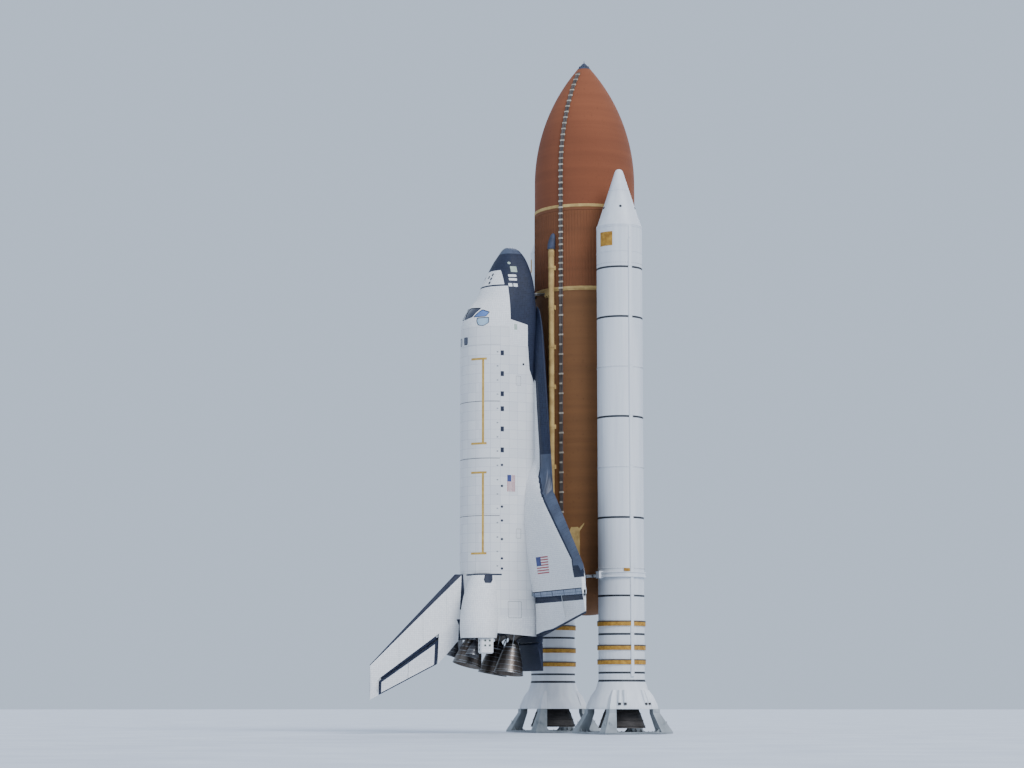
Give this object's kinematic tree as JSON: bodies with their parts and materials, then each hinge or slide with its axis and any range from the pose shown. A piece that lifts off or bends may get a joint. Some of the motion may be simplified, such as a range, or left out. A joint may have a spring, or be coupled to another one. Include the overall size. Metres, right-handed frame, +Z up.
{
  "type": "half-scale space shuttle launch stack",
  "caption": "Half-scale winged space shuttle on its external tank with solid boosters, standing upright on support posts.",
  "frame": {"origin": "on the floor, in the middle of the stack's own box", "axes": "+Z up along the tank towards the noses, +X the orbiter's starboard side, -Y the side that the orbiter's back faces"},
  "size_m": [11.8948, 11.67, 28.2892],
  "materials": {
    "white_tile": "matte",
    "black_tile": "matte",
    "carbon": "matte",
    "orange_foam": "matte",
    "tan_foam": "matte",
    "white_paint": "satin",
    "nozzle_metal": "satin",
    "dark_cone": "matte",
    "cabin_glass": "gloss",
    "grey_paint": "matte"
  },
  "bodies": {
    "stack": {"nose_cap": "carbon", "forward_fuselage": "white_tile", "windshield": "cabin_glass", "mid_fuselage": "white_tile", "aft_fuselage": "white_tile", "manoeuvring_pod_right": "white_tile", "manoeuvring_pod_left": "white_tile", "wing_right": "white_tile", "wing_left": "white_tile", "wing_edge_right": "carbon", "wing_edge_left": "carbon", "vertical_fin": "white_tile", "tank_cap": "dark_cone", "oxygen_tank": "orange_foam", "intertank": "orange_foam", "hydrogen_tank": "orange_foam", "oxygen_feedline": "tan_foam", "cable_tray": "dark_cone", "forward_bipod": "tan_foam", "aft_mount": "tan_foam", "booster_nose_right": "white_paint", "booster_frustum_right": "white_paint", "booster_forward_skirt_right": "white_paint", "booster_motor_right": "white_paint", "booster_tunnel_right": "white_paint", "booster_ring_right": "white_paint", "booster_aft_skirt_right": "white_paint", "support_posts_right": "grey_paint", "booster_nose_left": "white_paint", "booster_frustum_left": "white_paint", "booster_forward_skirt_left": "white_paint", "booster_motor_left": "white_paint", "booster_tunnel_left": "white_paint", "booster_ring_left": "white_paint", "booster_aft_skirt_left": "white_paint", "support_posts_left": "grey_paint"},
    "hatch": {"crew_hatch": "white_tile"},
    "door_right": {"bay_door_right": "white_tile"},
    "door_left": {"bay_door_left": "white_tile"},
    "rudder": {"rudder_shaft": "black_tile"},
    "speedbrake_right": {"rudder_panel_right": "white_tile"},
    "speedbrake_left": {"rudder_panel_left": "white_tile"},
    "elevon_inboard_right": {"elevon_inboard_right": "white_tile"},
    "elevon_inboard_left": {"elevon_inboard_left": "white_tile"},
    "elevon_outboard_right": {"elevon_outboard_right": "white_tile"},
    "elevon_outboard_left": {"elevon_outboard_left": "white_tile"},
    "body_flap": {"body_flap": "black_tile"},
    "main_engine_upper": {"main_engine_upper": "nozzle_metal"},
    "main_engine_left": {"main_engine_left": "nozzle_metal"},
    "main_engine_right": {"main_engine_right": "nozzle_metal"},
    "pod_engine_right": {"pod_engine_right": "nozzle_metal"},
    "pod_engine_left": {"pod_engine_left": "nozzle_metal"},
    "booster_nozzle_right": {"booster_nozzle_right": "dark_cone"},
    "booster_nozzle_left": {"booster_nozzle_left": "dark_cone"}
  },
  "joints": [
    {"name": "crew_hatch_hinge", "type": "hinge", "parent": "stack", "child": "hatch", "pos_m": [-1.32588, 0.33972, 16.7259], "axis": [0, 0, -1], "range_deg": [0, 90]},
    {"name": "bay_door_right_hinge", "type": "hinge", "parent": "stack", "child": "door_right", "pos_m": [1.30556, -0.78422, 11.0109], "axis": [0, 0, 1], "range_deg": [0, 175.5]},
    {"name": "bay_door_left_hinge", "type": "hinge", "parent": "stack", "child": "door_left", "pos_m": [-1.30556, -0.78422, 11.0109], "axis": [0, 0, -1], "range_deg": [0, 175.5]},
    {"name": "rudder_turn", "type": "hinge", "parent": "stack", "child": "rudder", "pos_m": [0, -2.93687, 3.90156], "axis": [0, -0.8208, -0.5712], "range_deg": [-27.1, 27.1]},
    {"name": "speedbrake_right_open", "type": "hinge", "parent": "rudder", "child": "speedbrake_right", "pos_m": [0, -2.93687, 3.90156], "axis": [0, -0.8208, -0.5712], "range_deg": [0, 49.3]},
    {"name": "speedbrake_left_open", "type": "hinge", "parent": "rudder", "child": "speedbrake_left", "pos_m": [0, -2.93687, 3.90156], "axis": [0, -0.8208, -0.5712], "range_deg": [-49.3, 0]},
    {"name": "elevon_inboard_right_hinge", "type": "hinge", "parent": "stack", "child": "elevon_inboard_right", "pos_m": [2.667, 0.84176, 5.3594], "axis": [0.9993, -0.0378, 0], "range_deg": [-35, 20]},
    {"name": "elevon_inboard_left_hinge", "type": "hinge", "parent": "stack", "child": "elevon_inboard_left", "pos_m": [-2.667, 0.84176, 5.3594], "axis": [0.9993, 0.0378, 0], "range_deg": [-35, 20]},
    {"name": "elevon_outboard_right_hinge", "type": "hinge", "parent": "stack", "child": "elevon_outboard_right", "pos_m": [4.953, 0.75535, 5.3594], "axis": [0.9993, -0.0378, 0], "range_deg": [-35, 20]},
    {"name": "elevon_outboard_left_hinge", "type": "hinge", "parent": "stack", "child": "elevon_outboard_left", "pos_m": [-4.953, 0.75535, 5.3594], "axis": [0.9993, 0.0378, 0], "range_deg": [-35, 20]},
    {"name": "body_flap_hinge", "type": "hinge", "parent": "stack", "child": "body_flap", "pos_m": [0, 0.95567, 3.5179], "axis": [1, 0, 0], "range_deg": [-11.7, 22.5]},
    {"name": "main_engine_upper_pitch", "type": "hinge", "parent": "stack", "child": "main_engine_upper", "pos_m": [0, -1.10173, 4.6228], "axis": [1, 0, 0], "range_deg": [-10.5, 10.5]},
    {"name": "main_engine_left_pitch", "type": "hinge", "parent": "stack", "child": "main_engine_left", "pos_m": [-0.6731, 0.17335, 4.3307], "axis": [1, 0, 0], "range_deg": [-10.5, 10.5]},
    {"name": "main_engine_right_pitch", "type": "hinge", "parent": "stack", "child": "main_engine_right", "pos_m": [0.6731, 0.17335, 4.3307], "axis": [1, 0, 0], "range_deg": [-10.5, 10.5]},
    {"name": "pod_engine_right_pitch", "type": "hinge", "parent": "stack", "child": "pod_engine_right", "pos_m": [0.9398, -1.67322, 3.7719], "axis": [1, 0, 0], "range_deg": [-6, 6]},
    {"name": "pod_engine_left_pitch", "type": "hinge", "parent": "stack", "child": "pod_engine_left", "pos_m": [-0.9398, -1.67322, 3.7719], "axis": [1, 0, 0], "range_deg": [-6, 6]},
    {"name": "booster_nozzle_right_tilt", "type": "hinge", "parent": "stack", "child": "booster_nozzle_right", "pos_m": [3.18135, 3.71792, 2.0574], "axis": [1, 0, 0], "range_deg": [-8, 8]},
    {"name": "booster_nozzle_left_tilt", "type": "hinge", "parent": "stack", "child": "booster_nozzle_left", "pos_m": [-3.18135, 3.71792, 2.0574], "axis": [1, 0, 0], "range_deg": [-8, 8]}
  ],
  "couplings": [
    {"joint": "speedbrake_left_open", "follows": "speedbrake_right_open", "ratio": -1}
  ]
}
